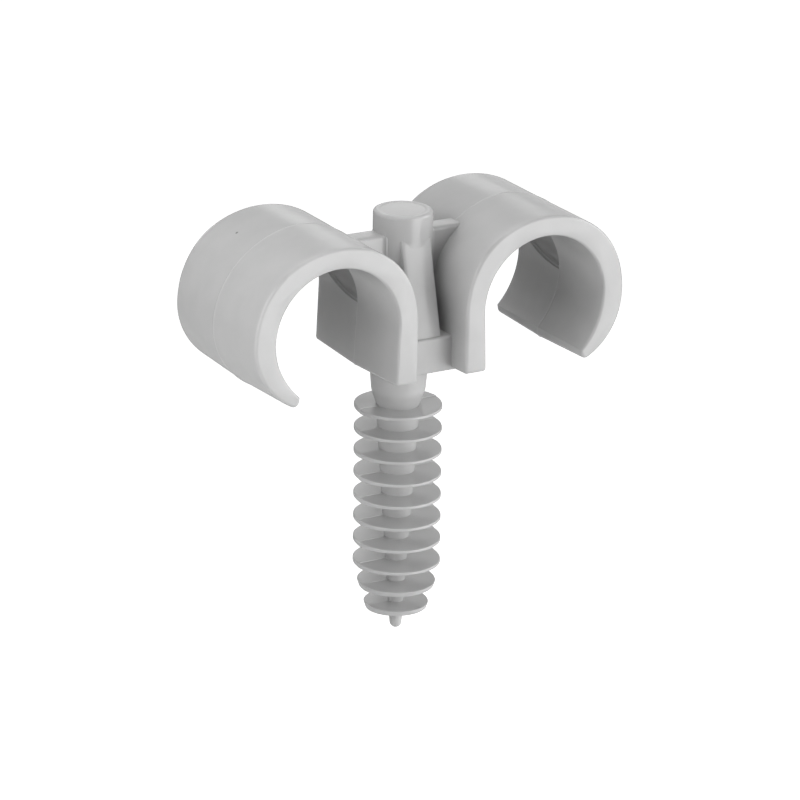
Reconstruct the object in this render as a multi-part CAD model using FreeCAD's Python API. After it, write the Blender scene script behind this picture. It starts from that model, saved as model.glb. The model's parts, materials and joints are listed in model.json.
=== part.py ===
import FreeCAD, Part
import math
import os

# Double pipe clip with a hammer-in plug, moulded in one piece in two mould halves.
#
# Millimetres, +Z up and away from the wall. The origin is on the plug's axis, in the wall's surface:
# the base block rests there and the finned plug goes down into an 8 mm drilled hole.
# X runs across the two hooks, and Y along the pipes. The mould parts in the plane Y = 0, so the outer
# faces are largest there and lean in by the draft toward both ends.

# Hooks, given at their end rims
PIPE_SEAT_RADIUS = 7.8
HOOK_WALL = 2.45
HOOK_GAP = 6.2
HOOK_LENGTH = 18.7
SEAT_HEIGHT = 7.35
SEAT_END_ANGLE = 22.0
LEG_LEAN = 1.6
LEG_FOOT_GAP = 0.4
LOBE_SHIFT = 2.1
TIP_ANGLE = 62.5
TIP_ROUND = 0.65
TIP_INNER_RADIUS = 9.5
DRAFT_STEP = 0.25
RIM_ROUND = 0.2

# Relief inside each seat, in the rear half only
RELIEF_LENGTH = 7.0
RELIEF_LOW = 0.3
RELIEF_CORNER = 3.6
RELIEF_DEPTH_FRONT = 1.2
RELIEF_DEPTH_REAR = 0.45

# Drive column, with its head level with the hooks' crowns, its ribs, and the web between the hooks
COLUMN_RADIUS = 3.35
HEAD_BEVEL = 0.3
RIB_WIDTH = 3.8
RIB_CROWN = 0.43
RIB_TOP_DROP = 1.3
RIB_TOP_REACH = 2.3
RIB_FOOT_REACH = 5.8
RIB_EDGE_ROUND = 0.2
WEB_THICKNESS = 2.45
WEB_TOP_ANGLE = 51.3
WEB_EDGE_ROUND = 0.3

# Base block that stops on the wall
BASE_LENGTH = 12.6
BASE_HEIGHT = 4.1
BASE_EDGE_ROUND = 0.25

# Plug
COLLAR_RADIUS = 3.24
COLLAR_END_RADIUS = 3.1
COLLAR_LENGTH = 3.65
COLLAR_TAPER = 1.65
CORE_TOP_RADIUS = 2.42
CORE_END_RADIUS = 0.82
FIN_COUNT = 10
FIN_PITCH = 2.69
FIRST_FIN_DEPTH = 5.65
FIN_RADIUS = 5.04
NEXT_TO_LAST_FIN_RADIUS = 4.52
LAST_FIN_RADIUS = 3.73
FIN_THICKNESS = 0.4
FIN_DRAFT = 1.0
END_FIN_THICKNESS = 0.6
END_FIN_BEVEL = 0.17
PIN_RADIUS = 0.74
PIN_END_RADIUS = 0.58
PIN_BEVEL = 0.25
PIN_LENGTH = 2.87

# How far joined volumes run into each other, and cutting tools past what they cut
EMBED = 0.6
CUT_MARGIN = 1.0
LEVEL = 1e-4

OUTER_RADIUS = PIPE_SEAT_RADIUS + HOOK_WALL
SEAT_X = HOOK_GAP / 2 + OUTER_RADIUS
HALF_LENGTH = HOOK_LENGTH / 2
HEAD_HEIGHT = SEAT_HEIGHT + OUTER_RADIUS
WEB_HEIGHT = SEAT_HEIGHT + OUTER_RADIUS * math.sin(math.radians(WEB_TOP_ANGLE))
END_FIN_RADII = [NEXT_TO_LAST_FIN_RADIUS, LAST_FIN_RADIUS]
END_FIN_COUNT = len(END_FIN_RADII)
FIN_RADII = [FIN_RADIUS] * (FIN_COUNT - END_FIN_COUNT) + END_FIN_RADII
CORE_TOP = -COLLAR_LENGTH - COLLAR_TAPER
LAST_FIN_HEIGHT = -FIRST_FIN_DEPTH - (FIN_COUNT - 1) * FIN_PITCH


def vec(x, y, z):
    return FreeCAD.Vector(x, y, z)


def chain(points):
    """Straight edges through the points, in order."""
    return [Part.makeLine(a, b) for a, b in zip(points, points[1:])]


def arc(start, middle, end):
    return Part.Arc(start, middle, end).toShape()


def around(x, z, radius, angle, y):
    """A point at y on a circle about (x, z), at an angle in degrees counted upward from +X."""
    turn = math.radians(angle)
    return vec(x + radius * math.cos(turn), y, z + radius * math.sin(turn))


def round_edge(x, z, radius, start, end, y):
    """An arc at y about (x, z), between two angles in degrees."""
    middle = around(x, z, radius, (start + end) / 2, y)
    return arc(around(x, z, radius, start, y), middle, around(x, z, radius, end, y))


def loft(first, last):
    """A solid with straight rulings between two outlines."""
    return Part.makeLoft([first, last], True, True)


def turned(points):
    """A closed outline of straight edges in the plane Y = 0, turned about the plug's axis."""
    return Part.Face(Part.Wire(chain(points))).revolve(vec(0, 0, 0), vec(0, 0, 1), 360)


def mirrored(shape):
    """The other hook's side."""
    return shape.mirror(vec(0, 0, 0), vec(1, 0, 0))


def tip_centre():
    """The centre of the hook's round tip, which touches the lobe's arc from within."""
    tip = around(SEAT_X + LOBE_SHIFT, SEAT_HEIGHT, OUTER_RADIUS - LOBE_SHIFT - TIP_ROUND, -TIP_ANGLE, 0)
    return tip.x, tip.z


def hook_outline(y, grow):
    """The right hook's outer section at y, with its mouth still closed, grown by the draft.

    The crown is an arc about the seat. Below the seat's height the inner side is the straight leg,
    and the outer side is a lobe: a smaller arc about a centre nearer the tip, so that the wall thins
    to the round tip.
    """
    crown = OUTER_RADIUS + grow
    tip_x, tip_z = tip_centre()
    tip_round = TIP_ROUND + grow
    edges = [round_edge(SEAT_X, SEAT_HEIGHT, crown, 180, 0, y)]
    edges += [round_edge(SEAT_X + LOBE_SHIFT, SEAT_HEIGHT, crown - LOBE_SHIFT, 0, -TIP_ANGLE, y)]
    edges += [round_edge(tip_x, tip_z, tip_round, -TIP_ANGLE, -180, y)]
    leg_x = SEAT_X - crown
    foot_z = LEG_FOOT_GAP - grow
    inner_side = around(tip_x, tip_z, tip_round, -180, y)
    edges += chain([inner_side, vec(SEAT_X, y, foot_z), vec(leg_x, y, foot_z), vec(leg_x, y, SEAT_HEIGHT)])
    return Part.Wire(edges)


def opening_outline(y, grow):
    """The seat and the mouth below it at y: a round seat, an easier curve to the tip, the leg's face."""
    seat = PIPE_SEAT_RADIUS + grow
    ease_radius = TIP_INNER_RADIUS + grow
    ease = around(SEAT_X, SEAT_HEIGHT, PIPE_SEAT_RADIUS - TIP_INNER_RADIUS, -SEAT_END_ANGLE, y)
    lead_x = tip_centre()[0] - TIP_ROUND + grow
    lead_angle = -math.degrees(math.acos((lead_x - ease.x) / ease_radius))
    edges = [round_edge(SEAT_X, SEAT_HEIGHT, seat, 180 + LEG_LEAN, -SEAT_END_ANGLE, y)]
    edges += [round_edge(ease.x, ease.z, ease_radius, -SEAT_END_ANGLE, lead_angle, y)]
    lead = around(ease.x, ease.z, ease_radius, lead_angle, y)
    leg_top = around(SEAT_X, SEAT_HEIGHT, seat, 180 + LEG_LEAN, y)
    low = -CUT_MARGIN
    leg_low = vec(leg_top.x + (leg_top.z - low) * math.tan(math.radians(LEG_LEAN)), y, low)
    edges += chain([lead, vec(lead_x, y, low), leg_low, leg_top])
    return Part.Wire(edges)


def opening():
    """The seat and the mouth as one straight cut along Y, flared at both rims."""
    near_rim = HALF_LENGTH - RIM_ROUND
    straight = Part.Face(opening_outline(-near_rim, 0)).extrude(vec(0, 2 * near_rim, 0))
    flares = []
    for side in (-1, 1):
        inner = opening_outline(side * near_rim, 0)
        outer = opening_outline(side * (HALF_LENGTH + RIM_ROUND), 2 * RIM_ROUND)
        flares.append(loft(inner, outer))
    return [straight] + flares


def relief():
    """The tongue-shaped relief: deepest at the parting plane, with a rounded lower rear corner."""
    front = PIPE_SEAT_RADIUS + RELIEF_DEPTH_FRONT
    rear = PIPE_SEAT_RADIUS + RELIEF_DEPTH_REAR
    cone = Part.makeCone(front, rear, RELIEF_LENGTH, vec(SEAT_X, 0, SEAT_HEIGHT), vec(0, 1, 0))
    x = SEAT_X - front - CUT_MARGIN
    low = SEAT_HEIGHT - RELIEF_LOW
    high = SEAT_HEIGHT + front + CUT_MARGIN
    corner = vec(x, 0, low + RELIEF_CORNER)
    rear_end = corner + vec(0, RELIEF_LENGTH, 0)
    curve = Part.Ellipse(rear_end, corner - vec(0, 0, RELIEF_CORNER), corner)
    sides = chain([rear_end, vec(x, RELIEF_LENGTH, high), vec(x, 0, high), vec(x, 0, low)])
    tongue = Part.Face(Part.Wire([curve.toShape(0, math.pi / 2)] + sides))
    return cone.common(tongue.extrude(vec(2 * (front + CUT_MARGIN), 0, 0)))


def hook():
    """The right hook, still solid inside: drafted from the parting plane, with rounded outer rims."""
    near_rim = HALF_LENGTH - RIM_ROUND
    widest = hook_outline(0, DRAFT_STEP)
    body = []
    for side in (-1, 1):
        rim = hook_outline(side * near_rim, DRAFT_STEP * RIM_ROUND / HALF_LENGTH)
        end = hook_outline(side * HALF_LENGTH, -RIM_ROUND)
        body += [loft(widest, rim), loft(rim, end)]
    return body[0].multiFuse(body[1:])


def column():
    """The round drive column, from inside the base block to the head that the hammer hits."""
    foot_z = BASE_HEIGHT / 2
    top = vec(0, 0, HEAD_HEIGHT)
    bevel_low = vec(COLUMN_RADIUS, 0, HEAD_HEIGHT - HEAD_BEVEL)
    bevel_top = vec(COLUMN_RADIUS - HEAD_BEVEL, 0, HEAD_HEIGHT)
    return turned([top, vec(0, 0, foot_z), vec(COLUMN_RADIUS, 0, foot_z), bevel_low, bevel_top, top])


def rib_section(reach, z):
    """The ribs' section at z: flat sides, and a gently rounded face at the front and at the rear."""
    half = RIB_WIDTH / 2
    right_front, right_rear = vec(half, -reach, z), vec(half, reach, z)
    left_rear, left_front = vec(-half, reach, z), vec(-half, -reach, z)
    rear_face = arc(right_rear, vec(0, reach + RIB_CROWN, z), left_rear)
    front_face = arc(left_front, vec(0, -reach - RIB_CROWN, z), right_front)
    right_side = Part.makeLine(right_front, right_rear)
    left_side = Part.makeLine(left_rear, left_front)
    return Part.Wire([right_side, rear_face, left_side, front_face])


def ribs():
    """The front and rear rib in one: they grow out of the column toward the base block."""
    foot = rib_section(RIB_FOOT_REACH, BASE_HEIGHT - BASE_EDGE_ROUND)
    top = rib_section(RIB_TOP_REACH, HEAD_HEIGHT - RIB_TOP_DROP)
    body = loft(foot, top)
    corners = [edge for edge in body.Edges if edge.BoundBox.ZLength > LEVEL]
    return body.makeFillet(RIB_EDGE_ROUND, corners)


def rounded_bar(length, width, low, high, radius):
    """A bar along X, with its long top edges rounded."""
    bar = Part.makeBox(length, width, high - low, vec(-length / 2, -width / 2, low))
    tops = [e for e in bar.Edges if e.BoundBox.ZMin > high - LEVEL and e.BoundBox.XLength > LEVEL]
    return bar.makeFillet(radius, tops)


def web():
    """The wall between the hooks, whose top runs a little way into their outer walls."""
    reach = SEAT_X - (OUTER_RADIUS - EMBED) * math.cos(math.radians(WEB_TOP_ANGLE))
    return rounded_bar(2 * reach, WEB_THICKNESS, BASE_HEIGHT / 2, WEB_HEIGHT, WEB_EDGE_ROUND)


def base():
    """The block between the legs, which stops on the wall."""
    return rounded_bar(HOOK_GAP + 2 * EMBED, BASE_LENGTH, 0, BASE_HEIGHT, BASE_EDGE_ROUND)


def fin(index):
    """A round fin with flat flanks, which lean in from the parting plane as the mould halves need.

    The last two fins are thicker and have a bevelled rim, which leads the plug into the hole.
    """
    radius = FIN_RADII[index]
    is_end = index >= FIN_COUNT - END_FIN_COUNT
    thickness = END_FIN_THICKNESS if is_end else FIN_THICKNESS
    bevel = END_FIN_BEVEL if is_end else 0
    top = -FIRST_FIN_DEPTH - index * FIN_PITCH + FIN_THICKNESS / 2
    low = top - thickness
    lean = radius * math.tan(math.radians(FIN_DRAFT))
    ridge = vec(-radius, 0, top)
    rear = [vec(-radius, radius, top - lean), vec(-radius, radius, low + lean)]
    keel = vec(-radius, 0, low)
    front = [vec(-radius, -radius, low + lean), vec(-radius, -radius, top - lean)]
    section = Part.Wire(chain([ridge] + rear + [keel] + front + [ridge]))
    flanks = Part.Face(section).extrude(vec(2 * radius, 0, 0))
    centre = vec(0, 0, top)
    disc = turned([centre, vec(0, 0, low), vec(radius - bevel, 0, low), vec(radius, 0, top), centre])
    return flanks.common(disc)


def stem():
    """Collar, tapered core and pin, turned in one about the axis."""
    top = BASE_HEIGHT / 2
    core_low = LAST_FIN_HEIGHT - END_FIN_THICKNESS / 2
    end = LAST_FIN_HEIGHT - PIN_LENGTH
    points = [vec(0, 0, top), vec(COLLAR_RADIUS, 0, top), vec(COLLAR_RADIUS, 0, -COLLAR_LENGTH / 2)]
    points += [vec(COLLAR_END_RADIUS, 0, -COLLAR_LENGTH), vec(CORE_TOP_RADIUS, 0, CORE_TOP)]
    points += [vec(CORE_END_RADIUS, 0, core_low), vec(PIN_RADIUS, 0, core_low)]
    points += [vec(PIN_END_RADIUS, 0, end + PIN_BEVEL), vec(PIN_END_RADIUS - PIN_BEVEL, 0, end)]
    return turned(points + [vec(0, 0, end), vec(0, 0, top)])


def plug():
    return stem().multiFuse([fin(index) for index in range(FIN_COUNT)])


def pipe_clip():
    """Everything in one, with the two openings and their reliefs cut through it."""
    right = hook()
    body = column().multiFuse([ribs(), web(), base(), plug(), right, mirrored(right)])
    for tool in opening() + [relief()]:
        body = body.cut(tool).cut(mirrored(tool))
    return body.removeSplitter()


os.makedirs("parts", exist_ok=True)
clip = pipe_clip()
if clip.ShapeType == "Compound" and len(clip.Solids) == 1:
    clip = clip.Solids[0]
clip.exportStep("parts/pipe_clip.step")
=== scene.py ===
# %% [markdown]
# # A moulded double pipe clip
#
# The real clip is one piece of light grey nylon, injection moulded in two mould halves that meet in
# the plane Y = 0. Two hooks hold pipes, a web and a base block join them to a round drive column, and
# a finned plug below goes into the wall. The construction model has the right sizes but flat facets,
# so this scene works out every surface again, finely and with the small marks that a mould leaves:
# soft edges, draft, parting lines and a shallow ejector mark.

# %% Load the frame
import json
import math

import bmesh
import bpy
import numpy as np
from mathutils import Matrix, Vector


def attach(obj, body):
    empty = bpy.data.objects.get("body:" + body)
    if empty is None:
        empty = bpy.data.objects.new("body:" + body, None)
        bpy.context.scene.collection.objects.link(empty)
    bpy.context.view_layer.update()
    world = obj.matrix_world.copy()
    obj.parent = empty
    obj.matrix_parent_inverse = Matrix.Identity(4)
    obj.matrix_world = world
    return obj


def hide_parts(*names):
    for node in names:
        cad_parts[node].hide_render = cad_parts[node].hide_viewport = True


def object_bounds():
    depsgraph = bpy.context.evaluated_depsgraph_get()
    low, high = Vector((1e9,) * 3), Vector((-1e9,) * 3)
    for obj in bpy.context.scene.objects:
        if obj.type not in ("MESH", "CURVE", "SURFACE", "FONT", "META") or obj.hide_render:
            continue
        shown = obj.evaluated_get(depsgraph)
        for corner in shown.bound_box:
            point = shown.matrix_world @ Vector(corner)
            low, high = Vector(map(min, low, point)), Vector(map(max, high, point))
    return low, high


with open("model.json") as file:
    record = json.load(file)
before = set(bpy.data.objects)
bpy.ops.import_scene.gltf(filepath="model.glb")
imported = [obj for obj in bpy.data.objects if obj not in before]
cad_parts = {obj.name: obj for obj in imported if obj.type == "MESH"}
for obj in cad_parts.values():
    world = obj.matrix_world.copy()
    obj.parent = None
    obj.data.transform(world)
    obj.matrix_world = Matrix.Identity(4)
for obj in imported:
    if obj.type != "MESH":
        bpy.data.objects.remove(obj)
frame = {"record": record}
cad_low, cad_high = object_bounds()

MM = 0.001
print("CAD box", [round(v / MM, 2) for v in cad_low], [round(v / MM, 2) for v in cad_high])

# %% [markdown]
# ## Sizes
#
# Everything is worked out in millimetres and made metres once, when a mesh is stored. The seats'
# place and radius come from the frame's mounts, and the outside from its box, so that they can't
# drift from the construction model. The column's radius and the base block's height are here too,
# because several pieces meet there. All other sizes stand with the piece they shape.

# %% Sizes from the frame
seat = {mount["name"]: mount for mount in frame["record"]["mounts"]}["right_pipe_seat"]
SEAT_X = seat["pos_m"][0] / MM
SEAT_Z = seat["pos_m"][2] / MM
SEAT_R = seat["dims"]["r_mm"]
HALF_LENGTH = cad_high.y / MM
PIN_END_Z = cad_low.z / MM
DRAFT_STEP = 0.25
OUTER_R = cad_high.x / MM - SEAT_X - DRAFT_STEP
COLUMN_R = 3.39
BASE_Z = 4.1
print("seats at x", round(SEAT_X, 2), "z", round(SEAT_Z, 2), "radius", SEAT_R, "in", round(OUTER_R, 2))

# %% [markdown]
# ## The camera
#
# The photograph looks at the clip's front left from a little above, through a long lens, with the
# camera tilted by about a degree. Blender's own angles would hide that, so the camera is built from
# what was measured: its forward direction from the two viewing angles, and then its right and up
# directions turned by the tilt. These three are the columns of its rotation.

# %% Camera
VIEW_AZIMUTH = math.radians(30.5585)
VIEW_ELEVATION = math.radians(19.670)
VIEW_TILT = math.radians(1.208)
VIEW_DISTANCE = 549.03
VIEW_SIDE = -0.143
VIEW_RISE = -11.756
LENS_MM = 218.77
SENSOR_MM = 36.0
CLIP_NEAR, CLIP_FAR = 0.01, 10


def make_camera():
    """A camera tilted about its view, at seat height - distance * forward + side * right + rise * up."""
    sin_a, cos_a = math.sin(VIEW_AZIMUTH), math.cos(VIEW_AZIMUTH)
    sin_e, cos_e = math.sin(VIEW_ELEVATION), math.cos(VIEW_ELEVATION)
    forward = Vector((sin_a * cos_e, cos_a * cos_e, -sin_e))
    level = Vector((cos_a, -sin_a, 0))
    upward = level.cross(forward)
    right = level * math.cos(VIEW_TILT) + upward * math.sin(VIEW_TILT)
    up = upward * math.cos(VIEW_TILT) - level * math.sin(VIEW_TILT)
    place = Vector((0, 0, SEAT_Z)) - VIEW_DISTANCE * forward + VIEW_SIDE * right + VIEW_RISE * up
    data = bpy.data.cameras.new("camera")
    data.sensor_width = SENSOR_MM
    data.lens = LENS_MM
    data.clip_start, data.clip_end = CLIP_NEAR, CLIP_FAR
    camera = bpy.data.objects.new("camera", data)
    turn = Matrix((right, up, -forward)).transposed().to_4x4()
    camera.matrix_world = Matrix.Translation(place * MM) @ turn
    bpy.context.scene.collection.objects.link(camera)
    bpy.context.scene.camera = camera
    return camera


camera = make_camera()
print("camera at", [round(v, 4) for v in camera.location])

# %% [markdown]
# ## From arrays to a mesh
#
# Each surface is a grid of points. Its rows lie one beyond the other, and its columns run round, so
# that the last one is a neighbour of the first. The faces are the quads between neighbours. One could
# model by hand instead, but whole arrays keep each shape a formula that can be read and changed. All
# shells of the moulding are gathered in one list, because they are one piece in the end.

# %% Grids and shells
MERGE_AT = 1e-7
shells = []


def quads(rows, columns):
    """Corner numbers of each cell of a grid whose columns run round.

    They are (r, c), (r, c + 1), (r + 1, c + 1) and (r + 1, c), and after the last column comes the first."""
    r, c = np.meshgrid(np.arange(rows - 1), np.arange(columns), indexing="ij")
    after = (c + 1) % columns
    corners = (r * columns + c, r * columns + after, (r + 1) * columns + after, (r + 1) * columns + c)
    return np.stack(corners, -1).reshape(-1, 4)


def store(name, points, faces):
    """Makes a closed shell from points in millimetres, with doubles merged and faces turned outward."""
    mesh = bpy.data.meshes.new(name)
    mesh.from_pydata((points.reshape(-1, 3) * MM).tolist(), [], [list(face) for face in faces])
    work = bmesh.new()
    work.from_mesh(mesh)
    bmesh.ops.remove_doubles(work, verts=work.verts, dist=MERGE_AT)
    bmesh.ops.recalc_face_normals(work, faces=work.faces)
    work.to_mesh(mesh)
    open_edges = sum(not edge.is_manifold for edge in work.edges)
    work.free()
    shell = bpy.data.objects.new(name, mesh)
    bpy.context.scene.collection.objects.link(shell)
    shells.append(shell)
    print(name, len(mesh.polygons), "faces,", open_edges, "open edges")
    return shell


print("a grid of 3 rows and 4 columns:", len(quads(3, 4)), "faces")

# %% [markdown]
# Two ways of filling a grid come up again and again: a closed loop that is carried along a path, as
# in an extrusion, and a profile that is turned about the Z axis, as on a lathe. Blender has a tool for
# each, but its result would have to be bent and tapered afterwards, and a formula can do that at once.

# %% Swept and turned surfaces
AROUND = 160


def swept(name, loops):
    """A tube through closed loops (loop, point, xyz), with a flat cap on the first and the last."""
    count, around = loops.shape[:2]
    faces = quads(count, around).tolist()
    faces.append(list(range(around)))
    faces.append(list(range((count - 1) * around, count * around)))
    return store(name, loops, faces)


def turned_points(profile):
    """A surface of revolution: a point (r, z) of the profile goes to (r cos a, r sin a, z)."""
    angle = np.linspace(0, 2 * np.pi, AROUND, endpoint=False)
    r, z = profile[:, 0, None], profile[:, 1, None]
    return np.stack([r * np.cos(angle), r * np.sin(angle), z + 0 * angle], -1)


print("a turned profile of 5 points is a grid of", turned_points(np.ones((5, 2))).shape[:2])

# %% [markdown]
# Profiles are put together from arcs and straight lines, as on a drawing. Their ends may differ from
# row to row of a grid, and two small helpers blend values between such rows.

# %% Arcs, lines and blends
def arc(x, z, radius, start, end, count):
    """Points on a circle, (x + radius cos a, z + radius sin a), with a even from start to end in degrees.

    Each argument but the count may be a column of values, one per row of a grid."""
    share = np.linspace(0, 1, count)
    angle = np.radians(start + (end - start) * share)
    return np.stack(np.broadcast_arrays(x + radius * np.cos(angle), z + radius * np.sin(angle)), -1)


def straight(start, end, count):
    """Points strictly between two ends, evenly spaced: start + (end - start) * share."""
    share = np.linspace(0, 1, count + 2)[1:-1, None]
    return start[..., None, :] + (end - start)[..., None, :] * share


def mixed(ends, share):
    """A value that changes evenly from the first to the second: first + (second - first) * share."""
    return ends[0] + (ends[1] - ends[0]) * share


def smooth(value):
    """0 below 0 and 1 above 1, by 3 v^2 - 2 v^3 in between."""
    value = np.clip(value, 0, 1)
    return value * value * (3 - 2 * value)


print("a smooth step:", smooth(np.linspace(0, 1, 5)).round(3).tolist())

# %% [markdown]
# ## A hook
#
# In section a hook is a wall between two curves. Outside: the straight leg, the crown about the seat,
# a smaller lobe, and the round tip. Inside: the leg's leaning face, the seat, an easier curve and the
# flat lead face that guides the pipe in. Both curves are offset by the draft, the slope that lets the
# part leave its mould, and by the rounded rims at the ends. A bevel modifier could round the rims, but
# it can't vary with the draft, so the hook is one function of two parameters: the place round the
# section, and the place along the pipe. First come its sizes and what both walls share.

# %% Hook sizes, parting line and tip
SEAT_DRAFT = (-0.14, -0.03)
SEAT_RIM_SHARE = 0.65
SEAT_END_ANGLE = 22.0
LOBE_SHIFT = 2.1
TIP_ANGLE = 62.5
TIP_ROUND = 0.65
TIP_INNER_R = 9.5
LEG_FOOT_GAP = 0.3
LEG_FOOT_X = (6.05, 5.83)
FOOT_ROUND = 0.3
BEAD = 0.05
BEAD_WIDTH = 0.09


def bead(y):
    """The fine raised line where the mould halves meet: BEAD exp(-(y / BEAD_WIDTH)^2), for each row."""
    return BEAD * np.exp(-((y[:, None] / BEAD_WIDTH) ** 2))


def seat_grow(y, inset):
    """How much wider than the straight seat the opening is at y, from its draft and the rounded rims."""
    rim = inset[:, None] * SEAT_RIM_SHARE
    return mixed(SEAT_DRAFT, np.abs(y)[:, None] / HALF_LENGTH) + rim - bead(y)


def tip_centre():
    """The round tip lies inside the lobe's arc, at TIP_ANGLE below the seat's height."""
    reach = OUTER_R - LOBE_SHIFT - TIP_ROUND
    angle = math.radians(-TIP_ANGLE)
    return SEAT_X + LOBE_SHIFT + reach * math.cos(angle), SEAT_Z + reach * math.sin(angle)


print("tip's centre", [round(v, 3) for v in tip_centre()])

# %% [markdown]
# The outer wall follows, row by row. A real hook opens a little as the plastic cools, so the finished
# curve is warped slightly, by factors that fade in smoothly from the seat's centre. The warp is laid
# over the whole curve, because separate arcs with such small changes would no longer meet.

# %% Outer wall
HOOK_SPREAD = 0.021
SPREAD_FROM = 1.2
SHOULDER = (-0.013, 0.02)


def warped(wall, share, sag):
    """The curve with its points moved by shares of their distances x and z from the seat's centre.

    The free side stands out by HOOK_SPREAD x, less and less below the seat, and the crown sinks by
    sag z. The shoulders grow by SHOULDER sin^2(2 a), from the middle to the ends, where a is the angle
    from level and sin(2 a) = 2 x z / (x^2 + z^2)."""
    away = wall - [SEAT_X, SEAT_Z]
    lift = smooth(away[..., 1] / OUTER_R + SPREAD_FROM)
    away[..., 0] *= 1 + HOOK_SPREAD * smooth(away[..., 0] / OUTER_R) * lift
    double = 2 * away[..., 0] * np.maximum(away[..., 1], 0) / (away ** 2).sum(-1)
    away *= 1 + mixed(SHOULDER, share)[..., None] * double[..., None] ** 2
    away[..., 1] *= 1 - sag * smooth(away[..., 1] / OUTER_R)
    return away + [SEAT_X, SEAT_Z]


def outer_wall(y, inset, sag):
    """The outer curve for each row at y: arcs and lines offset by the draft less the rim's inset."""
    share = np.abs(y)[:, None] / HALF_LENGTH
    grow = DRAFT_STEP * (1 - share) - inset[:, None] + bead(y)
    leg_x = SEAT_X - OUTER_R - grow
    foot_z = LEG_FOOT_GAP - grow
    tip_x, tip_z = tip_centre()
    lead_x = tip_x - TIP_ROUND + seat_grow(y, inset)
    tip_r = TIP_ROUND + grow
    tip_end = np.degrees(np.arccos(np.clip((tip_x - lead_x) / tip_r, -1, 1))) - 180
    foot = arc(leg_x + FOOT_ROUND, foot_z + FOOT_ROUND, FOOT_ROUND, 270, 180, 6)
    crown = arc(SEAT_X, SEAT_Z, OUTER_R + grow, 180, 0, 91)
    leg = straight(foot[:, -1], crown[:, 0], 10)
    lobe = arc(SEAT_X + LOBE_SHIFT, SEAT_Z, OUTER_R - LOBE_SHIFT + grow, 0, -TIP_ANGLE, 32)
    tip = arc(tip_x, tip_z, tip_r, -TIP_ANGLE, tip_end, 16)
    return warped(np.concatenate([foot, leg, crown, lobe[:, 1:], tip[:, 1:]], 1), share, sag)


middle_row = outer_wall(np.zeros(1), np.zeros(1), 0)
print("outer wall:", middle_row.shape[1], "columns, out to x, z", middle_row.max((0, 1)).round(2).tolist())

# %% [markdown]
# The inner wall is built in the same way and ends on the outer wall's last point, which closes the
# section at the tip. A scaled copy of the outer wall wouldn't do, because the leg is thick at its foot
# and the arm grows thin towards the tip.

# %% Inner wall
def seat_ring(radius, angle):
    """Points about the seat's axis: (x + radius cos a, z + radius sin a)."""
    return np.stack([SEAT_X + radius * np.cos(angle), SEAT_Z + radius * np.sin(angle)], -1)


def inner_wall(y, inset, seat_angles, outside):
    """The inner curve for each row at y, from the leg's foot over the seat to the lead face's lower end.

    The easier curve is an arc of TIP_INNER_R that touches the seat at SEAT_END_ANGLE below level. Also
    gives the number of points before the seat."""
    grow = seat_grow(y, inset)
    tip_x, tip_z = tip_centre()
    lead_x = tip_x - TIP_ROUND + grow
    shift = SEAT_R - TIP_INNER_R
    end = math.radians(-SEAT_END_ANGLE)
    ease_x, ease_z = SEAT_X + shift * math.cos(end), SEAT_Z + shift * math.sin(end)
    ease_r = TIP_INNER_R + grow
    lead_angle = -np.degrees(np.arccos((lead_x - ease_x) / ease_r))
    foot_z = outside[:, 0, 1, None]
    foot_x = mixed(LEG_FOOT_X, np.abs(y)[:, None] / HALF_LENGTH) - inset[:, None] * SEAT_RIM_SHARE
    foot = arc(foot_x - FOOT_ROUND, foot_z + FOOT_ROUND, FOOT_ROUND, 270, 360, 6)
    seat_arc = seat_ring(SEAT_R + grow, seat_angles)
    leg = straight(foot[:, -1], seat_arc[:, 0], 10)
    ease = arc(ease_x, ease_z, ease_r, -SEAT_END_ANGLE, lead_angle, 24)
    lead = straight(ease[:, -1], outside[:, -1], 6)
    wall = np.concatenate([foot, leg, seat_arc, ease[:, 1:], lead, outside[:, -1:]], 1)
    return wall, len(foot[0]) + len(leg[0])


crown_wall = OUTER_R + DRAFT_STEP - SEAT_R - SEAT_DRAFT[0]
print("at the parting plane the crown is", round(crown_wall, 2), "mm thick")

# %% [markdown]
# ## The relief in the seat
#
# The rear half of each seat has a tongue-shaped hollow that starts in a step at the parting plane. Its
# edge is a quarter ellipse with a two-step riser, and its floor stays deep until close to the riser. A
# boolean cut would leave ragged edges on the round seat. Instead the grid itself follows the hollow:
# some rows lie on its floor, some on each line of the riser, and the rest behind it.

# %% Rows along the pipe
RIM_ROUND = 0.4
FRONT_END = -0.3
BEAD_ROWS = np.array([-0.2, -0.14, -0.09, -0.05, -0.02, 0])
ROW_GAP = 0.004
FLOOR_ROWS = 12
FLOOR_END = 0.12
REAR_ROWS = 14
RISER = np.array([[0, 0.5], [0.06, 0.4], [0.1, 0.28], [0.24, 0.22], [0.28, 0.1], [0.33, 0]])


def row_positions():
    """Y of each row and its rim inset, from the front face to the rear one, and the first floor row.

    Over a rim y = end - round + round sin t and inset = round (1 - cos t), a quarter circle."""
    turn = np.radians(np.linspace(90, 0, 8))
    rim_y = HALF_LENGTH - RIM_ROUND + RIM_ROUND * np.sin(turn)
    rim_inset = RIM_ROUND * (1 - np.cos(turn))
    front = np.linspace(-rim_y[-1], FRONT_END, 12)[1:]
    floor = np.linspace(ROW_GAP, FLOOR_END, FLOOR_ROWS)
    riser = FLOOR_END + RISER[1:, 0]
    rear = np.linspace(riser[-1], rim_y[-1], REAR_ROWS)[1:]
    y = np.concatenate([-rim_y, front, BEAD_ROWS, floor, riser, rear, rim_y[::-1][1:]])
    inset = np.zeros(len(y))
    inset[: len(rim_y)] = rim_inset
    inset[-len(rim_y):] = rim_inset[::-1]
    return y, inset, len(rim_y) + len(front) + len(BEAD_ROWS)


print("rows", len(row_positions()[0]))

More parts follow.
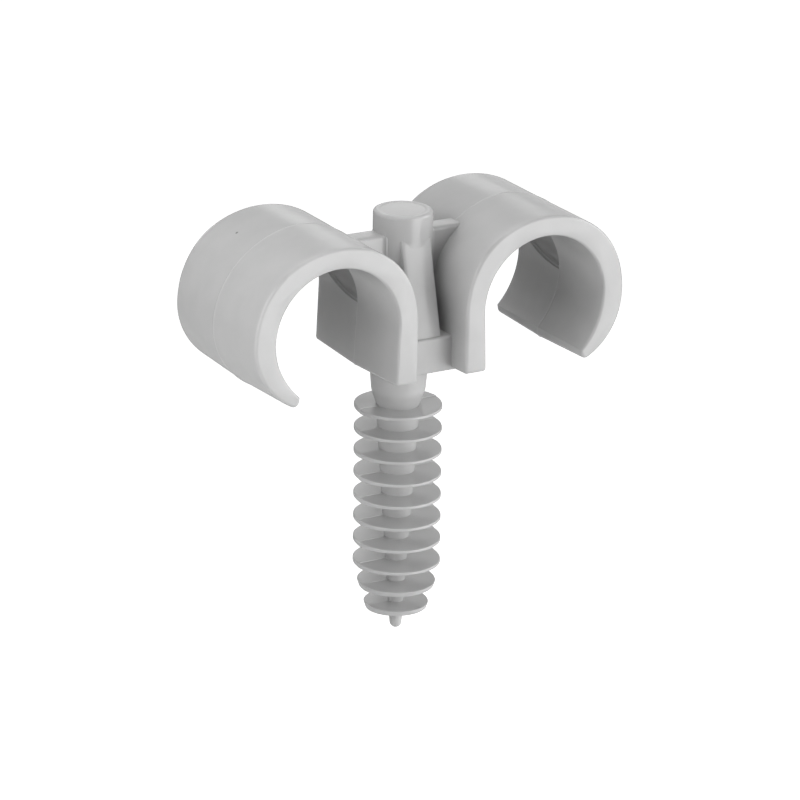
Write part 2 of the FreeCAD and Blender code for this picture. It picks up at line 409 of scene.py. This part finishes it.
# %% [markdown]
# The columns round the seat crowd together along the hollow's two lower edges, where the ellipse is
# steep, because an even spacing would show there as teeth.

# %% Columns round the seat
RELIEF_LENGTH = 7.2
RELIEF_LOW = 0.4
RELIEF_CORNER = 2.9
UNDER_TIP = 1.25
FIRST_STEP = 0.5


def seat_columns():
    """Angles round the seat in radians, closer together along the relief's two lower edges.

    Over both flanks the angle follows the ellipse: height = low + corner (1 - cos t), t even. Below it
    the columns go on evenly, down to UNDER_TIP times the riser's width under the tongue's tip."""
    turn = np.radians(np.linspace(0, 90, 26))
    rise = RELIEF_LOW + RELIEF_CORNER * (1 - np.cos(turn))
    under = RELIEF_LOW - RISER[-1, 0] * np.linspace(UNDER_TIP, 0, 19)[:-1]
    flank = np.degrees(np.arcsin(np.concatenate([under, rise]) / SEAT_R))
    top = np.linspace(180 - flank[-1], flank[-1], 50)[1:-1]
    low = np.linspace(flank[0], -SEAT_END_ANGLE, 14)[1:]
    leg_side = [180 + FIRST_STEP - flank[0], *(180 - flank)]
    return np.radians(np.concatenate([leg_side, top, flank[::-1], low]))


print("seat columns", len(seat_columns()))

# %% [markdown]
# The ellipse and the riser's lines are offsets of one another, so the riser keeps its width round the
# tongue's tip. Each line is read as a graph, its reach along Y over the height, for every column.

# %% Lines of the relief
def relief_reach(rise):
    """How far the relief's edge, and each line of its riser, reaches along Y at a height over the centre.

    The edge is the quarter ellipse y = length sin t, height = low + corner (1 - cos t). A riser's line
    is that curve moved out along its normal by the riser's width. Under the tip all lines end near 0,
    and stay ROW_GAP apart there, so that no face shrinks to nothing."""
    turn = np.radians(np.linspace(0, 90, 181))
    out = np.stack([RELIEF_CORNER * np.sin(turn), -RELIEF_LENGTH * np.cos(turn)])
    out /= np.linalg.norm(out, axis=0)
    edge_y = RELIEF_LENGTH * np.sin(turn) + RISER[:, 0, None] * out[0]
    edge_z = RELIEF_LOW + RELIEF_CORNER * (1 - np.cos(turn)) + RISER[:, 0, None] * out[1]
    lines = [np.interp(rise, z, y, left=0) for z, y in zip(edge_z, edge_y)]
    return np.maximum(lines, ROW_GAP * np.arange(2, len(lines) + 2)[:, None])


print("over the seat's top the lines reach", relief_reach(np.full(1, SEAT_R))[:, 0].round(2).tolist())

# %% [markdown]
# With the lines known, the hollow is a depth for each point of the seat: a curved floor, the riser's
# steps, and nothing behind them. The rows move along Y onto the lines, which keeps the edge crisp. The
# other way, one depth formula on even rows, would round the edge off or need far more rows.

# %% Depth of the relief
RELIEF_STEP = 1.5
RELIEF_RISE = 3
RELIEF_MARGIN = 0.02


def sunk(y, rise, first_floor):
    """Y and depth of the relief's columns, in the rows from the front face to behind the relief.

    Floor: y = share * reach, depth = step + (edge - step) share^RELIEF_RISE. Riser: its own lines and
    depths. Behind it: y evenly on to the rear rim, and no depth."""
    floor = slice(first_floor, first_floor + FLOOR_ROWS)
    riser = slice(floor.stop, floor.stop + len(RISER) - 1)
    rear = slice(riser.stop, riser.stop + REAR_ROWS - 1)
    reach = relief_reach(rise)
    along = np.repeat(y[: rear.stop, None], len(rise), 1)
    depth = np.zeros(along.shape)
    share = y[floor, None] / FLOOR_END
    edge = np.interp(RELIEF_LOW - rise, RISER[:, 0], RISER[:, 1])
    step = edge + (RELIEF_STEP - RISER[0, 1]) * reach[0] / RELIEF_LENGTH
    along[floor] = share * reach[0]
    depth[floor] = step + (edge - step) * share ** RELIEF_RISE
    along[riser] = reach[1:]
    depth[riser] = np.minimum(RISER[1:, 1, None], edge)
    share = (y[rear, None] - y[riser][-1]) / (y[rear][-1] - y[riser][-1])
    along[rear] = reach[-1] + (y[rear][-1] - reach[-1]) * share
    return along, depth


def lay_relief(within, before_seat, angles, y, inset, first_floor):
    """Moves the inner wall's points over the relief, and gives the Y of every point of that wall.

    There the radius is the seat's, with its draft and rim at the point's own Y, plus the depth."""
    rise = SEAT_R * np.sin(angles)
    inside = np.flatnonzero(rise > RELIEF_LOW - RISER[-1, 0] - RELIEF_MARGIN)
    along, depth = sunk(y, rise[inside], first_floor)
    rows = slice(0, len(depth))
    columns = slice(before_seat + inside[0], before_seat + inside[-1] + 1)
    drawn = mixed(SEAT_DRAFT, np.abs(along) / HALF_LENGTH)
    radius = SEAT_R + drawn + inset[rows, None] * SEAT_RIM_SHARE + depth
    within[rows, columns] = seat_ring(radius, angles[inside])
    within_y = np.repeat(y[:, None], within.shape[1], 1)
    within_y[rows, columns] = along
    return within_y


print("at the parting plane the relief is", RELIEF_STEP, "mm deep")

# %% [markdown]
# Now the two walls and the hollow come together in one grid that runs round the section. The left hook
# is the right one's mirror image but for its sag and its tip, which differ a little on the real clip.
# A mirror modifier would make them alike, so the same function makes both from their own values.

# %% The two hooks
CROWN_SAG = {"left_hook": 0.012, "right_hook": 0.015}
TIP_DRIFT = {"left_hook": (-0.19, -0.12), "right_hook": (0.18, -0.3)}
TIP_DEPTH = 8.0
TIP_BEYOND = 3.0


def hook_points(sag, drift):
    """The hook's grid: rows along Y, columns round the section, outer wall first and inner wall back.

    In the end the free arm moves by the drift, times smooth(depth below the seat's centre) and
    smooth(distance beyond it)."""
    y, inset, first_floor = row_positions()
    angles = seat_columns()
    outside = outer_wall(y, inset, sag)
    within, before_seat = inner_wall(y, inset, angles, outside)
    within_y = lay_relief(within, before_seat, angles, y, inset, first_floor)
    outside_y = np.repeat(y[:, None], outside.shape[1], 1)
    section = np.concatenate([outside, within[:, -2::-1]], 1)
    away = section - [SEAT_X, SEAT_Z]
    moved = smooth(-away[..., 1] / TIP_DEPTH) * smooth(away[..., 0] / TIP_BEYOND)
    section += moved[..., None] * np.array(drift)
    every_y = np.concatenate([outside_y, within_y[:, -2::-1]], 1)
    return np.stack([section[..., 0], every_y, section[..., 1]], -1)


for name, side in (("right_hook", 1), ("left_hook", -1)):
    swept(name, hook_points(CROWN_SAG[name], TIP_DRIFT[name]) * [side, 1, 1])

# %% [markdown]
# ## Web and base block
#
# Both are bars along X with rounded long edges, and both end inside the hooks' walls, so that nothing
# shows in the seats. Two boxes with a bevel would do from far off. On the real clip the plastic flares
# out where a bar meets a hook or the column, and here that fillet is part of the bar's own grid.

# %% Bar sections
EMBED = 0.6
BAR_FOOT_EDGE = 0.08


def bar_section(half, low, high, edge):
    """A closed loop in (y, z): a rectangle with four rounded corners, and points up its sides."""
    foot = arc(half - BAR_FOOT_EDGE, low + BAR_FOOT_EDGE, BAR_FOOT_EDGE, -90, 0, 4)
    top = arc(half - edge, high - edge, edge, 0, 90, 7)
    right = np.concatenate([foot, straight(foot[-1], top[0], 30), top])
    return np.concatenate([right, right[::-1] * [-1, 1]])


def crown_reach(z):
    """How far from the middle a bar may run at height z to end inside the hooks' walls.

    The walls follow the crown, so reach = x - sqrt((radius - embed)^2 - height^2) over the seats."""
    rise = np.maximum(z - SEAT_Z, 0)
    return SEAT_X - np.sqrt((OUTER_R - EMBED) ** 2 - rise ** 2)


def flare(gap, radius):
    """A fillet: radius - sqrt(radius^2 - (radius - gap)^2) over the gap to the next wall."""
    near = radius - np.clip(gap, 0, radius)
    return radius - np.sqrt(radius ** 2 - near ** 2)


print("at seat height a bar reaches", round(float(crown_reach(SEAT_Z)), 2), "mm either way")

# %% [markdown]
# The web is the tall thin wall between the hooks, and the base block is the low broad one that rests
# on the house wall. Their ends follow the crowns, which a box's flat ends can't, so each line of the
# section has its own length. The web also grows a hair thinner towards its top.

# %% Web and base block
WEB_HALF = 1.45
WEB_TOP_ANGLE = 51.3
WEB_Z = SEAT_Z + OUTER_R * math.sin(math.radians(WEB_TOP_ANGLE))
WEB_EDGE = 0.45
WEB_FILLET = 0.35
WEB_LEAN = 0.02
BASE_HALF = 6.3
BASE_EDGE = 0.3
BASE_FILLET = 0.15
BAR_MIDDLE = [0, 1.3]
COLUMN_BAND = (-0.5, 0.2)
FOOT_FADE = 0.8
TOP_FADE = 0.3


def make_bar(name, section, fillet, lean):
    """The section (y, z) swept along X from -reach to +reach, which differs round the section.

    Its sides flare out where they meet a hook or the column, and lean in by a share of the height. The
    columns of the grid are close together across the column's side, and then sine-spaced to the end."""
    reach = crown_reach(section[:, 1])
    band = np.linspace(COLUMN_R + COLUMN_BAND[0], COLUMN_R + COLUMN_BAND[1], 15)
    near = np.concatenate([BAR_MIDDLE, band])[:, None] + 0 * reach
    share = np.sin(np.linspace(0, np.pi / 2, 25))[1:, None]
    right = np.concatenate([near, near[-1] + (reach - near[-1]) * share])
    x = np.concatenate([-right[:0:-1], right])
    half = np.abs(section[:, 0]).max()
    to_hook = reach - EMBED - np.abs(x)
    to_column = np.hypot(x, half) - COLUMN_R
    wider = np.maximum(flare(to_hook, fillet), flare(to_column, fillet)) * smooth(section[:, 1] / FOOT_FADE)
    top = smooth((section[:, 1] - section[:, 1].max()) / TOP_FADE + 1)
    y = section[:, 0] + np.sign(section[:, 0]) * (wider - lean * (section[:, 1] - section[:, 1].mean()))
    z = section[:, 1] + top * flare(to_hook, fillet)
    return swept(name, np.stack([x, y, z], -1))


make_bar("web", bar_section(WEB_HALF, BASE_Z / 2, WEB_Z, WEB_EDGE), WEB_FILLET, WEB_LEAN)
make_bar("base_block", bar_section(BASE_HALF, 0, BASE_Z, BASE_EDGE), BASE_FILLET, 0)

# %% [markdown]
# ## Column
#
# The drive column takes the hammer. It is turned: a profile carried round the axis, as a cylinder
# would be, but with a soft edge on its head and the faint round mark that an ejector pin leaves. The
# mark is only 0.03 mm deep, and it still catches the light, which a flat disc doesn't.

# %% Column
HEAD_RISE = 0.08
HEAD_Z = SEAT_Z + OUTER_R + HEAD_RISE
HEAD_ROUND = 0.4
EJECTOR_R = 2.65
EJECTOR_DEPTH = 0.03
EJECTOR_RIDGE = 0.02
EJECTOR_RING = (0.35, 0.2, 0.08)


def column_profile():
    """(r, z) from the head's centre, over the ejector mark and the soft edge, down into the base.

    The mark is a hair deeper in a ring near its edge, and the plastic round it stands a hair higher."""
    ring = [[EJECTOR_R - inward, 0] for inward in EJECTOR_RING]
    ring[1][1] = -EJECTOR_RIDGE
    mark = np.array([[0, 0], *ring, [EJECTOR_R, EJECTOR_DEPTH]]) + [0, HEAD_Z - EJECTOR_DEPTH]
    edge = arc(COLUMN_R - HEAD_ROUND, HEAD_Z - HEAD_ROUND, HEAD_ROUND, 90, 0, 9)
    side = np.stack([np.full(12, COLUMN_R), np.linspace(HEAD_Z - HEAD_ROUND, BASE_Z / 2, 13)[1:]], -1)
    return np.concatenate([mark, edge, side, [[0, BASE_Z / 2]]])


column = turned_points(column_profile())
store("column", column, quads(*column.shape[:2]))

# %% [markdown]
# ## Ribs
#
# A rib in front and one behind stiffen the column against the blows. They grow deeper towards the
# base, and their faces bulge a little, which gives the front one its soft streak of light. One loft
# between a top and a bottom section makes both, because they meet inside the column.

# %% Ribs
RIB_HALF = 1.9
RIB_CROWN = 0.2
RIB_EDGE = 0.15
RIB_DROP = 2.83
RIB_TOP = (HEAD_Z - RIB_DROP, 2.96)
RIB_FOOT = (3.85, 5.8)


def rib_loop(z, reach):
    """The ribs' section at z: sides at +-RIB_HALF, ends on an arc that bulges by RIB_CROWN, soft corners."""
    radius = (RIB_HALF ** 2 + RIB_CROWN ** 2) / (2 * RIB_CROWN)
    half = math.degrees(math.asin((RIB_HALF - RIB_EDGE) / radius))
    front = arc(0, reach + RIB_CROWN - radius, radius, 90 - half, 90 + half, 13)
    corner = RIB_EDGE * (1 - math.cos(math.radians(45)))
    soft = np.array([[RIB_HALF - corner, reach - corner], [RIB_HALF, reach - RIB_EDGE]])
    rear = np.concatenate([soft[::-1], front, (soft * [-1, 1])])
    loop = np.concatenate([rear, -rear])
    return np.stack([loop[:, 0], loop[:, 1], np.full(len(loop), z)], -1)


rib_rise = np.linspace(0, 1, 25)[:, None, None]
swept("ribs", mixed((rib_loop(*RIB_FOOT), rib_loop(*RIB_TOP)), rib_rise))

# %% [markdown]
# ## The plug's stem
#
# The stem is turned in one profile: collar, taper, core and pilot pin. Seen closely it came out of its
# mould a hair bent, and the fins with it, so the points of both are moved sideways by depth. A curve
# modifier could bend them, but it would have to be applied to every shell alike.

# %% Stem
FIN_COUNT = 10
FIN_PITCH = 2.69
FIRST_FIN_Z = -5.65
LAST_FIN_Z = FIRST_FIN_Z - (FIN_COUNT - 1) * FIN_PITCH
COLLAR_R = (3.28, 3.15)
COLLAR_Z = -3.65
COLLAR_BEND_R = 3.5
COLLAR_BEND_Z = -3.0
CORE_TOP = (2.55, -5.3)
CORE_MIDDLE = (1.8, -16.6)
PIN_STEP = 0.3
CORE_LOW = (0.87, LAST_FIN_Z - PIN_STEP)
PIN_TOP = (0.87, LAST_FIN_Z - 2 * PIN_STEP)
PIN_R = 0.71
PIN_EXTRA = 0.27
LEAN = (-0.14, 0.14)


def stem_profile():
    """(r, z) from inside the base block, down the collar and core, to the pin's round end.

    The collar narrows by the cube of the depth and then turns into the taper over an arc."""
    down = np.linspace(0, 1, 9)
    side = np.stack([mixed(COLLAR_R, down ** 3), COLLAR_BEND_Z * down], -1)
    slope = math.atan2(COLLAR_R[1] - CORE_TOP[0], COLLAR_Z - CORE_TOP[1])
    soften = arc(COLLAR_R[1] - COLLAR_BEND_R, COLLAR_BEND_Z, COLLAR_BEND_R, 0, -math.degrees(slope), 10)
    nose = arc(0, PIN_END_Z - PIN_EXTRA + PIN_R, PIN_R, 0, -90, 9)
    top = [[0, BASE_Z / 2], [COLLAR_R[0], BASE_Z / 2]]
    return np.concatenate([top, side, soften[1:], [CORE_TOP, CORE_MIDDLE, CORE_LOW, PIN_TOP], nose])


def leaned(points):
    """The plug's slight bend: x moves evenly with depth, from LEAN[0] at the collar to LEAN[1]."""
    depth = np.clip((COLLAR_Z - points[..., 2]) / (COLLAR_Z - PIN_END_Z), 0, 1)
    moved = points.copy()
    moved[..., 0] += mixed(LEAN, depth)
    return moved


stem = leaned(turned_points(stem_profile()))
store("stem", stem, quads(*stem.shape[:2]))

# %% [markdown]
# ## Fins
#
# The fins bend as the plug is driven in, and grip. Each is a disc whose flanks lean in from the
# parting plane, z = top - |y| tan(draft), because the mould halves draw along Y. The halves never meet
# exactly, so the rear half of each fin stands a hair higher or lower, in a small step that was read
# fin by fin. Ten copies of one disc would lose that, so each fin is worked out with its own step.

# %% Fins
FIN_R = [5.04] * (FIN_COUNT - 2) + [4.52, 3.73]
FIN_HALF = 0.28
FIN_DRAFT = math.tan(math.radians(1.3))
FIN_EDGE = 0.08
FIN_INNER_END = 0.3
END_FIN_EXTRA = 0.2
END_FIN_BEVEL = 0.17
HALF_MISMATCH = [0.07, 0.02, -0.04, 0.07, 0.06, 0.05, 0.06, 0.06, 0.04, 0.01]
SEAM_ANGLE = 0.15


def fin_angles():
    """Angles round a fin, with close pairs across the parting plane at 0 and 180 degrees."""
    half = np.concatenate([[SEAM_ANGLE], np.linspace(2, 178, 78), [180 - SEAM_ANGLE]])
    return np.radians(np.concatenate([half, half + 180]))


def fin_points(index):
    """A fin's grid: rows from the middle out over the rim and back, columns round the axis."""
    radius = FIN_R[index]
    is_end = index >= FIN_COUNT - 2
    middle = FIRST_FIN_Z - index * FIN_PITCH
    low_edge = FIN_HALF + (END_FIN_EXTRA if is_end else 0)
    bevel = END_FIN_BEVEL if is_end else 0
    angle = fin_angles()
    over = arc(radius - FIN_EDGE, -FIN_EDGE, FIN_EDGE, 90, 0, 4)
    under = arc(radius - bevel - FIN_EDGE, FIN_EDGE, FIN_EDGE, 0, -90, 4)
    inner = np.linspace(0, radius - bevel - FIN_INNER_END, 6)
    flank = len(inner) + len(over)
    r = np.concatenate([inner, over[:, 0], under[:, 0], inner[::-1]])
    offset = np.concatenate([0 * inner, over[:, 1], under[:, 1], 0 * inner])
    height = np.repeat([FIN_HALF, -low_edge], flank)
    y = r[:, None] * np.sin(angle)
    lean = np.repeat([1, -1], flank)[:, None] * np.abs(y) * FIN_DRAFT
    step = HALF_MISMATCH[index] / 2 * np.sign(np.sin(angle))
    z = middle + height[:, None] + offset[:, None] - lean + step
    return np.stack([r[:, None] * np.cos(angle), y, z], -1)


for index in range(FIN_COUNT):
    points = leaned(fin_points(index))
    store(f"fin_{index + 1}", points, quads(*points.shape[:2]))

# %% [markdown]
# ## One moulding
#
# The shells run into each other where the real plastic is continuous. Left like that they would look
# right but hold hidden walls. A boolean union joins them into one closed skin, and its manifold solver
# is both quick and exact enough for closed shells. Edges that turn by more than a set angle are kept
# sharp, and all others are shaded smooth.

# %% Join the shells
SHARP_ANGLE = math.radians(32)


def union(name, parts):
    """The first shell joined with all the others by a boolean union, as a new mesh."""
    others = bpy.data.collections.new("others")
    for part in parts[1:]:
        others.objects.link(part)
    joiner = parts[0].modifiers.new("union", "BOOLEAN")
    joiner.operation = "UNION"
    joiner.solver = "MANIFOLD"
    joiner.operand_type = "COLLECTION"
    joiner.collection = others
    depsgraph = bpy.context.evaluated_depsgraph_get()
    mesh = bpy.data.meshes.new_from_object(parts[0].evaluated_get(depsgraph))
    for part in parts:
        bpy.data.objects.remove(part)
    bpy.data.collections.remove(others)
    piece = bpy.data.objects.new(name, mesh)
    bpy.context.scene.collection.objects.link(piece)
    mesh.shade_smooth()
    mesh.set_sharp_from_angle(angle=SHARP_ANGLE)
    return piece


clip = union("pipe_clip_moulding", shells)
check = bmesh.new()
check.from_mesh(clip.data)
print("moulding:", len(check.faces), "faces,", sum(not e.is_manifold for e in check.edges), "open edges")
check.free()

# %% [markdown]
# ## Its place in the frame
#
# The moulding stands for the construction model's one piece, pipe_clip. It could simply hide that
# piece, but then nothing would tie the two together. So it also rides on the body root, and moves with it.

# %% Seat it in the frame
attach(clip, "root")
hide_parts("pipe_clip")
print(clip.name, "rides on root and stands for pipe_clip")

# %% [markdown]
# ## Nylon
#
# The plastic is light grey nylon with a semi-gloss skin. Seen close, its grey is a little cloudy, its
# gloss varies in patches, and its surface has a very fine grain. One flat grey would look like a
# drawing, and a picture of plastic would have to be wrapped, so all three come from noise in the
# object's own coordinates. Four helpers keep the node trees readable.

# %% Shader helpers
def noise(nodes, links, place, scale, detail):
    """Smooth noise from 0 to 1 at so many waves per metre of the object."""
    node = nodes.new("ShaderNodeTexNoise")
    node.inputs["Scale"].default_value = scale
    node.inputs["Detail"].default_value = detail
    links.new(place, node.inputs["Vector"])
    return node.outputs["Fac"]


def ranged(nodes, links, value, source, target):
    """The value, carried from one range to another and held at its ends."""
    node = nodes.new("ShaderNodeMapRange")
    node.inputs["From Min"].default_value, node.inputs["From Max"].default_value = source
    node.inputs["To Min"].default_value, node.inputs["To Max"].default_value = target
    links.new(value, node.inputs["Value"])
    return node.outputs["Result"]


def combined(nodes, links, operation, first, second):
    """One arithmetic operation on two values."""
    node = nodes.new("ShaderNodeMath")
    node.operation = operation
    links.new(first, node.inputs[0])
    links.new(second, node.inputs[1])
    return node.outputs["Value"]


def gap_to(nodes, links, place, centre):
    """The distance from a centre, in metres."""
    node = nodes.new("ShaderNodeVectorMath")
    node.operation = "DISTANCE"
    links.new(place, node.inputs[0])
    node.inputs[1].default_value = centre
    return node.outputs["Value"]


# %% [markdown]
# Two marks go over the grey. The parting lines on the hooks are painted a little paler than the rest,
# a painted highlight for the light that their fine bead catches, and one tiny dark speck sits in the
# left hook's top. Each is a mask, 1 on the mark and 0 elsewhere, worked out from distances.

# %% Masks for the painted highlight on the parting lines and the speck
LINE_HALF = 0.00007
LINE_END = 0.0002
SPECK_AT = (-0.01871, 0.0046, 0.01622)
SPECK_R = 0.00022
SPECK_CORE = 0.4


def parting_highlight_mask(nodes, links, place):
    """1 on the hooks' parting plane Y = 0, for a painted highlight, falling to 0 at LINE_HALF either side.

    A hook is where (|x|, z) is closer to the seat's centre than the outside radius and a little more."""
    mirrored = nodes.new("ShaderNodeVectorMath")
    mirrored.operation = "ABSOLUTE"
    links.new(place, mirrored.inputs[0])
    axes = nodes.new("ShaderNodeSeparateXYZ")
    links.new(mirrored.outputs["Vector"], axes.inputs["Vector"])
    near = ranged(nodes, links, axes.outputs["Y"], (0, LINE_HALF), (1, 0))
    gap = gap_to(nodes, links, mirrored.outputs["Vector"], (SEAT_X * MM, 0, SEAT_Z * MM))
    limit = (OUTER_R + DRAFT_STEP) * MM
    hook = ranged(nodes, links, gap, (limit, limit + LINE_END), (1, 0))
    return combined(nodes, links, "MULTIPLY", near, hook)


def speck_mask(nodes, links, place):
    """1 in the middle of the speck, falling to 0 at its edge."""
    gap = gap_to(nodes, links, place, SPECK_AT)
    return ranged(nodes, links, gap, (SPECK_R * SPECK_CORE, SPECK_R), (1, 0))


print("line", round(2 * LINE_HALF / MM, 2), "mm wide, speck", round(2 * SPECK_R / MM, 2), "mm across")

# %% [markdown]
# Clouds, patches and grain differ only in scale: a few millimetres, one, and a fraction of one. The
# noise rarely leaves its middle range, so that range is spread over the greys and the roughness.

# %% Nylon
CLOUDS = 260.0
PATCHES = 900.0
GRAIN = 2600.0
NOISE_RANGE = (0.3, 0.7)
GREY = (0.485, 0.515)
ROUGHNESS = (0.2, 0.26)
# How much paler the parting lines are painted: a painted highlight for the light on their bead.
LINE_HIGHLIGHT = 0.12
SPECK_DARKER = -0.3
GRAIN_STRENGTH = 0.5
GRAIN_HEIGHT = 0.000004
NYLON_IOR = 1.5


def make_nylon():
    """Grey from clouds, the speck and a painted highlight on the parting lines; roughness from patches; a
    normal from the grain.
    """
    material = bpy.data.materials.new("light_grey_nylon")
    material.use_nodes = True
    nodes, links = material.node_tree.nodes, material.node_tree.links
    shader = nodes["Principled BSDF"]
    place = nodes.new("ShaderNodeTexCoord").outputs["Object"]
    grey = ranged(nodes, links, noise(nodes, links, place, CLOUDS, 3), NOISE_RANGE, GREY)
    # A painted highlight: the grey is raised along the parting lines, for the light their fine bead catches.
    painted_highlight = ranged(nodes, links, parting_highlight_mask(nodes, links, place), (0, 1), (0, LINE_HIGHLIGHT))
    dark = ranged(nodes, links, speck_mask(nodes, links, place), (0, 1), (0, SPECK_DARKER))
    highlight_and_speck = combined(nodes, links, "ADD", painted_highlight, dark)
    links.new(combined(nodes, links, "ADD", grey, highlight_and_speck), shader.inputs["Base Color"])
    patches = noise(nodes, links, place, PATCHES, 2)
    links.new(ranged(nodes, links, patches, NOISE_RANGE, ROUGHNESS), shader.inputs["Roughness"])
    shader.inputs["IOR"].default_value = NYLON_IOR
    bump = nodes.new("ShaderNodeBump")
    bump.inputs["Strength"].default_value = GRAIN_STRENGTH
    bump.inputs["Distance"].default_value = GRAIN_HEIGHT
    links.new(noise(nodes, links, place, GRAIN, 2), bump.inputs["Height"])
    links.new(bump.outputs["Normal"], shader.inputs["Normal"])
    return material


nylon = make_nylon()
clip.data.materials.clear()
clip.data.materials.append(nylon)
print(nylon.name, len(nylon.node_tree.nodes), "nodes")

# %% [markdown]
# ## Light
#
# The photograph's light is soft, as in a light tent: a large softbox at the front right makes the
# bright strip on the column, small cards close to the left hook make its grey deepen from front to
# rear, and weaker lamps fill the rest. A sky picture could stand for the far lamps, but not for the
# near cards. So each is an area lamp that faces the clip's middle, and the table gives its azimuth,
# elevation, distance, size and power.

# %% Lamps
FAR = 0.6
LAMPS = {
    "key": (30, 3, FAR, (0.547, 0.52), 2.84),
    "left_card": (-76, 12, 0.14, (0.12, 0.16), 0.114),
    "left_strip": (-66, 8, 0.09, (0.04, 0.12), 0.007),
    "front_card": (-50, 10, 0.1, (0.04, 0.06), 0.007),
    "left": (-90, 30, FAR, (0.25, 0.25), 0.3),
    "right": (70, 15, FAR, (0.3, 0.5), 1.9),
    "rear": (172, 28, FAR, (0.6, 0.45), 0.49),
    "rear_high": (172, 55, FAR, (0.5, 0.3), 0.78),
    "rear_left": (-130, 35, FAR, (0.4, 0.4), 0.31),
    "rear_low": (135, 10, FAR, (0.4, 0.4), 0.245),
    "top": (-30, 85, FAR, (0.3, 0.3), 0.95),
}


def make_softbox(name, azimuth, elevation, distance, size, power):
    """An area lamp that looks at the clip; azimuth 0 is the front, and to the right is positive.

    It stands at distance * (sin a cos e, -cos a cos e, sin e), a the azimuth and e the elevation."""
    data = bpy.data.lights.new(name, "AREA")
    data.shape = "RECTANGLE"
    data.size, data.size_y = size
    data.energy = power
    lamp = bpy.data.objects.new(name, data)
    a, e = math.radians(azimuth), math.radians(elevation)
    toward = Vector((math.sin(a) * math.cos(e), -math.cos(a) * math.cos(e), math.sin(e)))
    lamp.location = toward * distance
    lamp.rotation_mode = "QUATERNION"
    lamp.rotation_quaternion = toward.to_track_quat("Z", "Y")
    bpy.context.scene.collection.objects.link(lamp)
    return lamp


for name, row in LAMPS.items():
    make_softbox(name, *row)
print(len(LAMPS), "lamps,", round(sum(row[-1] for row in LAMPS.values()), 2), "W in all")

# %% [markdown]
# ## Floor and background
#
# The floor is a wide pale plane far below the clip, so that its soft shadow stays out of the picture.
# A very strong light on it would make it white, but would also light the clip from below. Instead the
# camera sees a little glow added to the floor, which lights nothing, and beyond the floor white
# surroundings. Mirrored rays see a small share of that white, as in a tent with a dark side.

# %% Who sees the glow
GLOSS_SHARE = 0.15


def seen_by(nodes, links):
    """1 for camera rays, GLOSS_SHARE for rays that leave a glossy or clear surface, and 0 for others."""
    rays = nodes.new("ShaderNodeLightPath")
    either = nodes.new("ShaderNodeMath")
    either.operation = "MAXIMUM"
    links.new(rays.outputs["Is Glossy Ray"], either.inputs[0])
    links.new(rays.outputs["Is Transmission Ray"], either.inputs[1])
    total = nodes.new("ShaderNodeMath")
    total.operation = "MULTIPLY_ADD"
    total.inputs[1].default_value = GLOSS_SHARE
    links.new(either.outputs["Value"], total.inputs[0])
    links.new(rays.outputs["Is Camera Ray"], total.inputs[2])
    return total.outputs["Value"]


print("mirrored rays see", GLOSS_SHARE, "of the glow")

# %% [markdown]
# Near the clip the lamps light the floor, and farther out their light fades. An even glow would show
# that fading as a grey rim, so the glow grows with the distance and makes up for it.

# %% Floor material
FLOOR_GREY = (0.8, 0.8, 0.8, 1)
FLOOR_ROUGHNESS = 0.9
FLOOR_GLOW = 0.75
GLOW_FROM, GLOW_TO = 0.35, 0.6


def make_pale_floor():
    """Pale grey plus a glow, which grows from FLOOR_GLOW to 1 with the distance from the clip."""
    material = bpy.data.materials.new("pale_floor")
    material.use_nodes = True
    nodes, links = material.node_tree.nodes, material.node_tree.links
    shader = nodes["Principled BSDF"]
    shader.inputs["Base Color"].default_value = FLOOR_GREY
    shader.inputs["Roughness"].default_value = FLOOR_ROUGHNESS
    place = nodes.new("ShaderNodeTexCoord").outputs["Object"]
    gap = gap_to(nodes, links, place, (0, 0, 0))
    level = ranged(nodes, links, gap, (GLOW_FROM, GLOW_TO), (FLOOR_GLOW, 1))
    glow = nodes.new("ShaderNodeEmission")
    links.new(combined(nodes, links, "MULTIPLY", seen_by(nodes, links), level), glow.inputs["Strength"])
    both = nodes.new("ShaderNodeAddShader")
    links.new(shader.outputs["BSDF"], both.inputs[0])
    links.new(glow.outputs["Emission"], both.inputs[1])
    links.new(both.outputs["Shader"], nodes["Material Output"].inputs["Surface"])
    return material


pale_floor = make_pale_floor()
print(pale_floor.name, len(pale_floor.node_tree.nodes), "nodes")

# %% [markdown]
# The floor itself is one square. A curved backdrop could hide its edge, but here the edge lies so far
# off that the floor and the surroundings are both white there.

# %% Floor
FLOOR_Z = -0.25
FLOOR_REACH = 6.0


def make_floor():
    """A square of four corners, FLOOR_REACH from the middle, with the glowing pale material."""
    corners = np.array([[-1, -1], [1, -1], [1, 1], [-1, 1]]) * FLOOR_REACH
    points = np.column_stack([corners, np.full(4, FLOOR_Z)])
    mesh = bpy.data.meshes.new("floor")
    mesh.from_pydata(points.tolist(), [], [[0, 1, 2, 3]])
    mesh.materials.append(pale_floor)
    floor = bpy.data.objects.new("floor", mesh)
    bpy.context.scene.collection.objects.link(floor)
    return floor


floor = make_floor()
print("floor", [round(v, 2) for v in floor.dimensions], "m at z", FLOOR_Z)

# %% [markdown]
# Behind the floor the photograph is plain white. A white world would be the easy way, but its light
# would reach the clip from every side and flatten it, so this one is fully white for the camera alone.
# The Standard view transform keeps that white at full white.

# %% Surroundings
def make_world():
    """White to the camera, a share of it to mirrored rays, and dark to everything else."""
    world = bpy.data.worlds.new("surroundings")
    bpy.context.scene.world = world
    world.use_nodes = True
    nodes, links = world.node_tree.nodes, world.node_tree.links
    nodes["Background"].inputs["Color"].default_value = (1, 1, 1, 1)
    links.new(seen_by(nodes, links), nodes["Background"].inputs["Strength"])
    return world


world = make_world()
bpy.context.scene.view_settings.view_transform = "Standard"
print("world", world.name, "with the Standard view transform")
